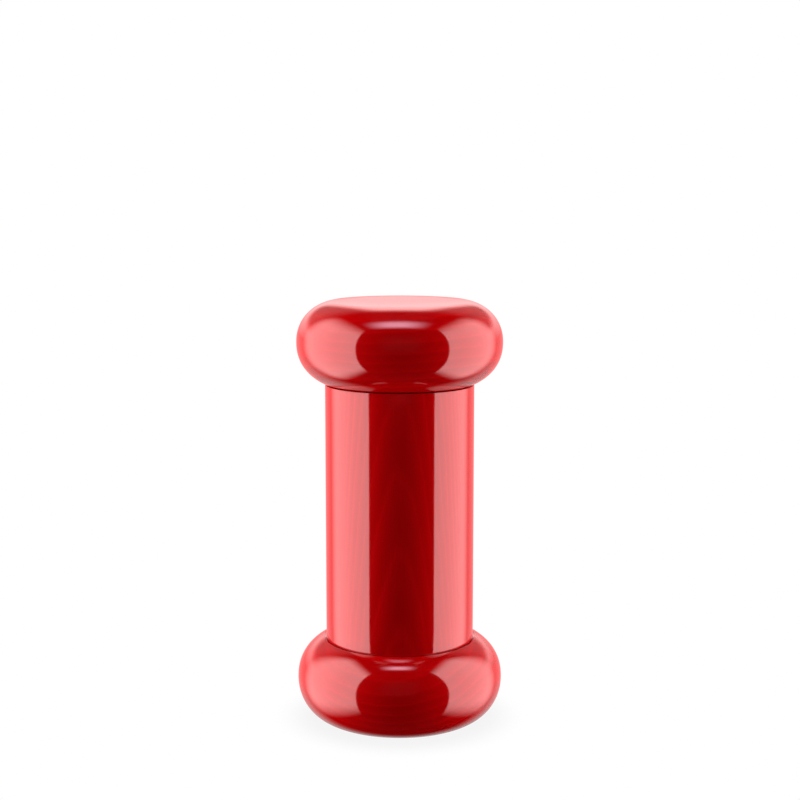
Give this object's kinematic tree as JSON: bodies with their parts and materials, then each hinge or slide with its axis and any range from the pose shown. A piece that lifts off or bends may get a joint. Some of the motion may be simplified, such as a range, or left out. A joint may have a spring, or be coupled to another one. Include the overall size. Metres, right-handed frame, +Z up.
{
  "type": "pepper mill",
  "caption": "Turned wooden table mill with a round foot, a straight body, a lift-off round drive knob and a ceramic grinding set inside.",
  "frame": {"origin": "centre of the foot's underside, on the surface that the mill stands on", "axes": "+Z up along the mill's turning axis, which every joint shares; the mill is round, so X and Y only place the screws, spokes and clips"},
  "size_m": [0.0632, 0.0632, 0.13],
  "materials": {
    "red_lacquer": "high gloss lacquer over fine wood grain",
    "black_plastic": "moulded, satin",
    "grey_plastic": "moulded, satin",
    "ceramic": "sintered, matt",
    "aluminium": "drawn bar",
    "steel": "bright stainless"
  },
  "bodies": {
    "base": {"foot": "red_lacquer", "body": "red_lacquer", "grinder_housing": "black_plastic", "outer_burr": "ceramic", "burr_retaining_ring": "grey_plastic", "shaft_guide": "black_plastic", "housing_screw_1": "steel", "housing_screw_2": "steel", "housing_screw_3": "steel", "housing_screw_4": "steel"},
    "shaft": {"drive_shaft": "aluminium", "shaft_clip": "steel", "spring_washer": "steel", "pressure_spring": "steel", "end_washer": "steel", "end_screw": "steel"},
    "burr": {"inner_burr": "ceramic", "burr_carrier": "grey_plastic"},
    "wheel": {"adjusting_wheel": "grey_plastic"},
    "knob": {"knob": "red_lacquer", "knob_socket": "black_plastic", "socket_clip": "steel", "socket_screw_1": "steel", "socket_screw_2": "steel", "socket_screw_3": "steel"}
  },
  "joints": [
    {"name": "shaft_spin", "type": "hinge", "parent": "base", "child": "shaft", "pos_m": [0, 0, 0.03], "axis": [0, 0, 1], "continuous": true},
    {"name": "burr_lift", "type": "slide", "parent": "shaft", "child": "burr", "axis": [0, 0, 1], "range_m": [-0.00075, 0.00075], "deforming": ["pressure_spring"]},
    {"name": "wheel_turn", "type": "hinge", "parent": "burr", "child": "wheel", "pos_m": [0, 0, 0.0037], "axis": [0, 0, 1], "range_deg": [-180.5, 180.5]},
    {"name": "knob_lift", "type": "slide", "parent": "shaft", "child": "knob", "axis": [0, 0, 1], "range_m": [0, 0.03]}
  ],
  "couplings": [
    {"joint": "wheel_turn", "follows": "burr_lift", "rad_per_m": 4188.8}
  ]
}
